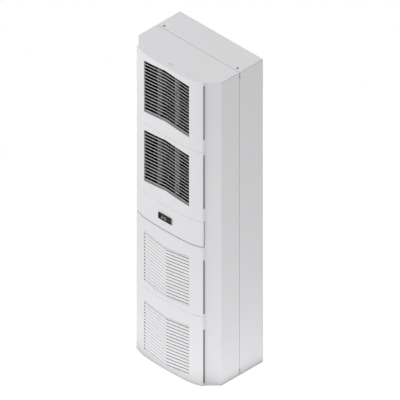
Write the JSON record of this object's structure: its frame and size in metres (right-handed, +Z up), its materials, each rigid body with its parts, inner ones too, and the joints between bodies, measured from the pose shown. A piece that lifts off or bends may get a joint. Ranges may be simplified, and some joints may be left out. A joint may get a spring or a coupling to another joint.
{
  "type": "enclosure air conditioner",
  "caption": "Tall wall-mounted enclosure air conditioner: chamfered steel housing with bowed, chevron-slatted air covers that pull off, fans behind them and a small controller display.",
  "frame": {"origin": "centre of the footprint of the overall box, on the plane that the base stands on", "axes": "+X to the right seen from the front, +Y from the front covers to the rear seal, +Z up"},
  "size_m": [0.5, 0.346, 1.58],
  "materials": {
    "housing_paint": "fine textured powder coat",
    "cover_plastic": "satin",
    "galvanised_steel": "galvanised",
    "seal_foam": "matt",
    "compressor_enamel": "gloss",
    "heat_exchanger_aluminium": "mill",
    "copper": "drawn copper",
    "black_plastic": "matt",
    "board_laminate": "satin",
    "filter_foam": "open foam",
    "bezel_plastic": "satin",
    "display_window": "gloss",
    "key_plastic": "satin"
  },
  "bodies": {
    "cabinet": {"chassis_side_left": "housing_paint", "chassis_side_right": "housing_paint", "chassis_top": "housing_paint", "chassis_base": "housing_paint", "rear_plate": "housing_paint", "rear_seal": "seal_foam", "weld_nuts": "galvanised_steel", "hood_side_left": "housing_paint", "hood_side_right": "housing_paint", "hood_top": "housing_paint", "hood_base": "housing_paint", "panel_rails": "galvanised_steel", "air_partition": "galvanised_steel", "compressor_shelf": "galvanised_steel", "compressor_shell": "compressor_enamel", "compressor_mounts": "seal_foam", "condenser_headers": "heat_exchanger_aluminium", "condenser_tubes": "heat_exchanger_aluminium", "condenser_fins": "heat_exchanger_aluminium", "condenser_frame": "galvanised_steel", "evaporator_fins": "heat_exchanger_aluminium", "evaporator_frame": "galvanised_steel", "evaporator_tubes": "copper", "discharge_pipe": "copper", "filter_drier": "copper", "liquid_pipe": "copper", "expansion_valve": "copper", "suction_pipe": "copper", "pressure_switch": "copper", "condensate_tray": "galvanised_steel", "drain_spout": "black_plastic", "electronics_box": "galvanised_steel", "control_board": "board_laminate", "mains_terminal": "black_plastic", "run_capacitor": "heat_exchanger_aluminium", "fan_shroud_top": "black_plastic", "fan_shroud_lower": "black_plastic", "fan_motor_top": "heat_exchanger_aluminium", "fan_motor_lower": "heat_exchanger_aluminium", "evaporator_fan_ring": "black_plastic", "evaporator_fan_motor": "heat_exchanger_aluminium", "display_cover": "cover_plastic", "controller_housing": "bezel_plastic", "display_lens": "display_window"},
    "outlet_top_panel": {"outlet_cover_top": "cover_plastic", "outlet_grille_top": "cover_plastic"},
    "outlet_lower_panel": {"outlet_cover_lower": "cover_plastic", "outlet_grille_lower": "cover_plastic"},
    "intake_upper_panel": {"intake_cover_upper": "cover_plastic", "intake_grille_upper": "cover_plastic", "intake_filter_upper": "filter_foam"},
    "intake_lower_panel": {"intake_cover_lower": "cover_plastic", "intake_grille_lower": "cover_plastic", "intake_filter_lower": "filter_foam"},
    "condenser_fan_top_rotor": {"condenser_fan_top": "black_plastic"},
    "condenser_fan_lower_rotor": {"condenser_fan_lower": "black_plastic"},
    "evaporator_fan_rotor": {"evaporator_fan": "black_plastic"},
    "key_set_cap": {"key_set": "key_plastic"},
    "key_down_cap": {"key_down": "key_plastic"},
    "key_up_cap": {"key_up": "key_plastic"}
  },
  "joints": [
    {"name": "outlet_top_pull_off", "type": "slide", "parent": "cabinet", "child": "outlet_top_panel", "axis": [0, -1, 0], "range_m": [0, 0.05]},
    {"name": "outlet_lower_pull_off", "type": "slide", "parent": "cabinet", "child": "outlet_lower_panel", "axis": [0, -1, 0], "range_m": [0, 0.05]},
    {"name": "intake_upper_pull_off", "type": "slide", "parent": "cabinet", "child": "intake_upper_panel", "axis": [0, -1, 0], "range_m": [0, 0.05]},
    {"name": "intake_lower_pull_off", "type": "slide", "parent": "cabinet", "child": "intake_lower_panel", "axis": [0, -1, 0], "range_m": [0, 0.05]},
    {"name": "condenser_fan_top_spin", "type": "hinge", "parent": "cabinet", "child": "condenser_fan_top_rotor", "pos_m": [0, -0.0805, 1.4255], "axis": [0, 1, 0], "continuous": true},
    {"name": "condenser_fan_lower_spin", "type": "hinge", "parent": "cabinet", "child": "condenser_fan_lower_rotor", "pos_m": [0, -0.0805, 1.064], "axis": [0, 1, 0], "continuous": true},
    {"name": "evaporator_fan_spin", "type": "hinge", "parent": "cabinet", "child": "evaporator_fan_rotor", "pos_m": [0, 0.07, 1.3], "axis": [0, 1, 0], "continuous": true},
    {"name": "key_set_press", "type": "slide", "parent": "cabinet", "child": "key_set_cap", "axis": [0, 1, 0], "range_m": [0, 0.0005], "stiffness_N_per_m": 600},
    {"name": "key_down_press", "type": "slide", "parent": "cabinet", "child": "key_down_cap", "axis": [0, 1, 0], "range_m": [0, 0.0005], "stiffness_N_per_m": 600},
    {"name": "key_up_press", "type": "slide", "parent": "cabinet", "child": "key_up_cap", "axis": [0, 1, 0], "range_m": [0, 0.0005], "stiffness_N_per_m": 600}
  ]
}
